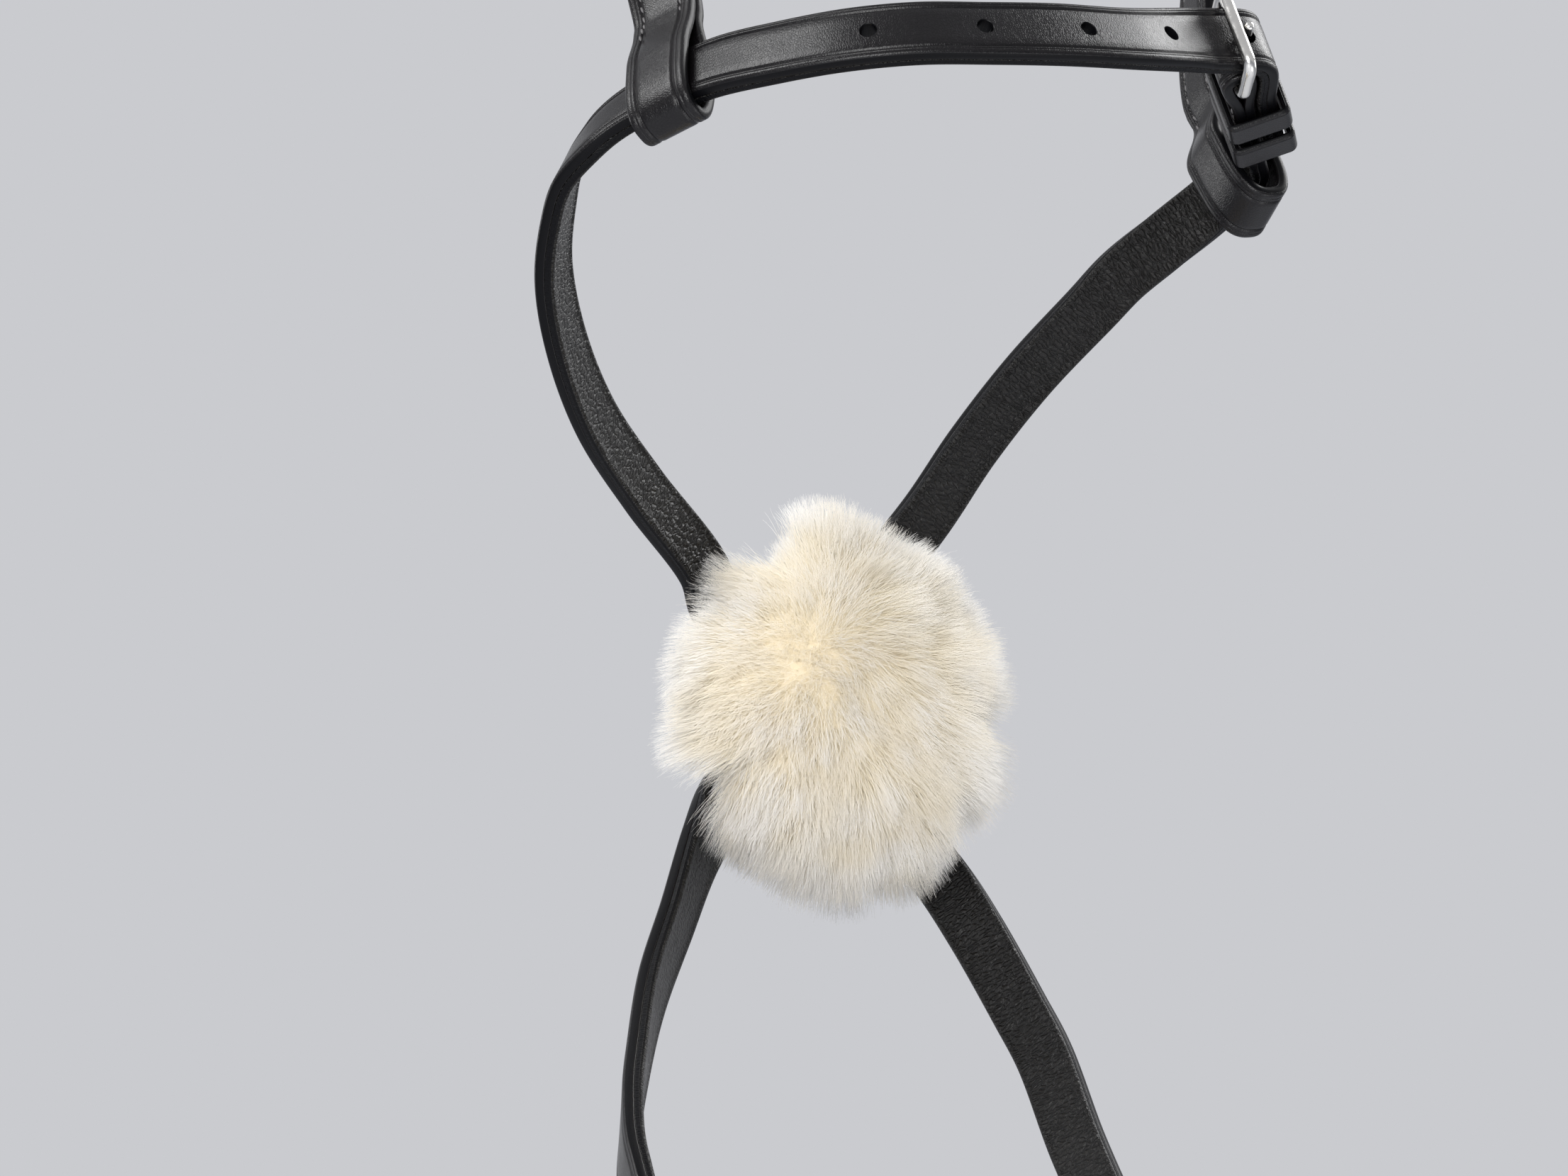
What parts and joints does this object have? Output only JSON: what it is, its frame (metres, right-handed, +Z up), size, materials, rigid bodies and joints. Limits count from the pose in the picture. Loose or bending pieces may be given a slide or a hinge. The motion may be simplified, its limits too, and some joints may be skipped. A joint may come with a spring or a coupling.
{
  "type": "bridle noseband",
  "caption": "Crossed leather noseband of a bridle, with a sheepskin pad where its straps cross, buckles at jaw and chin, and a head strap over the poll.",
  "frame": {"origin": "middle of the head strap's inner face, where it lies on the horse's poll", "axes": "+Z up, +Y towards the front of the horse's face, -X on the horse's near (left) side"},
  "size_m": [0.1965, 0.1526, 0.681],
  "materials": {
    "black_leather": "smooth bridle leather with a dull sheen",
    "pebbled_lining": "soft pebbled grain",
    "cream_sheepskin": "deep-pile wool",
    "nickel_plate": "polished nickel plate",
    "brass_burr": "dull"
  },
  "bodies": {
    "noseband": {"near_strap_outer": "black_leather", "near_strap_lining": "pebbled_lining", "off_strap_outer": "black_leather", "off_strap_lining": "pebbled_lining", "near_cheekpiece": "black_leather", "head_strap": "black_leather", "nose_disc": "black_leather", "pad_backing": "black_leather", "nose_fleece_pad": "cream_sheepskin", "crossing_rivet": "nickel_plate", "crossing_rivet_burr": "brass_burr", "jaw_fixed_keeper": "black_leather", "chin_fixed_keeper": "black_leather", "cheek_fixed_keeper": "black_leather"},
    "jaw_frame": {"jaw_buckle_frame": "nickel_plate"},
    "jaw_tongue": {"jaw_buckle_tongue": "nickel_plate"},
    "jaw_runner": {"jaw_runner_keeper": "black_leather"},
    "chin_frame": {"chin_buckle_frame": "nickel_plate"},
    "chin_tongue": {"chin_buckle_tongue": "nickel_plate"},
    "chin_runner": {"chin_runner_keeper": "black_leather"},
    "cheek_frame": {"cheek_buckle_frame": "nickel_plate"},
    "cheek_tongue": {"cheek_buckle_tongue": "nickel_plate"},
    "cheek_runner": {"cheek_runner_keeper": "black_leather"}
  },
  "joints": [
    {"name": "jaw_frame_swing", "type": "hinge", "parent": "noseband", "child": "jaw_frame", "pos_m": [0.04736, -0.0414, -0.38631], "axis": [-0.147, 0.3472, 0.9262], "range_deg": [-2.5, 2.5]},
    {"name": "jaw_tongue_lift", "type": "hinge", "parent": "jaw_frame", "child": "jaw_tongue", "pos_m": [0.04736, -0.0414, -0.38631], "axis": [-0.147, 0.3472, 0.9262], "range_deg": [0, 3]},
    {"name": "jaw_runner_slide", "type": "slide", "parent": "noseband", "child": "jaw_runner", "axis": [-0.5637, -0.7988, 0.21], "range_m": [-0.005, 0.003]},
    {"name": "chin_frame_swing", "type": "hinge", "parent": "noseband", "child": "chin_frame", "pos_m": [0.03848, -0.0258, -0.66216], "axis": [-0.061, -0.4377, 0.897], "range_deg": [-2.5, 2.5]},
    {"name": "chin_tongue_lift", "type": "hinge", "parent": "chin_frame", "child": "chin_tongue", "pos_m": [0.03848, -0.0258, -0.66216], "axis": [-0.061, -0.4377, 0.897], "range_deg": [0, 3]},
    {"name": "chin_runner_slide", "type": "slide", "parent": "noseband", "child": "chin_runner", "axis": [-0.1565, -0.8834, -0.4417], "range_m": [-0.007, 0.003]},
    {"name": "cheek_frame_swing", "type": "hinge", "parent": "noseband", "child": "cheek_frame", "pos_m": [-0.092, 0.00304, -0.188], "axis": [0, -0.9999, -0.0112], "range_deg": [-2.5, 2.5]},
    {"name": "cheek_tongue_lift", "type": "hinge", "parent": "cheek_frame", "child": "cheek_tongue", "pos_m": [-0.092, 0.00304, -0.188], "axis": [0, -0.9999, -0.0112], "range_deg": [0, 3]},
    {"name": "cheek_runner_slide", "type": "slide", "parent": "noseband", "child": "cheek_runner", "axis": [-0.027, -0.0112, 0.9996], "range_m": [-0.006, 0.003]}
  ]
}
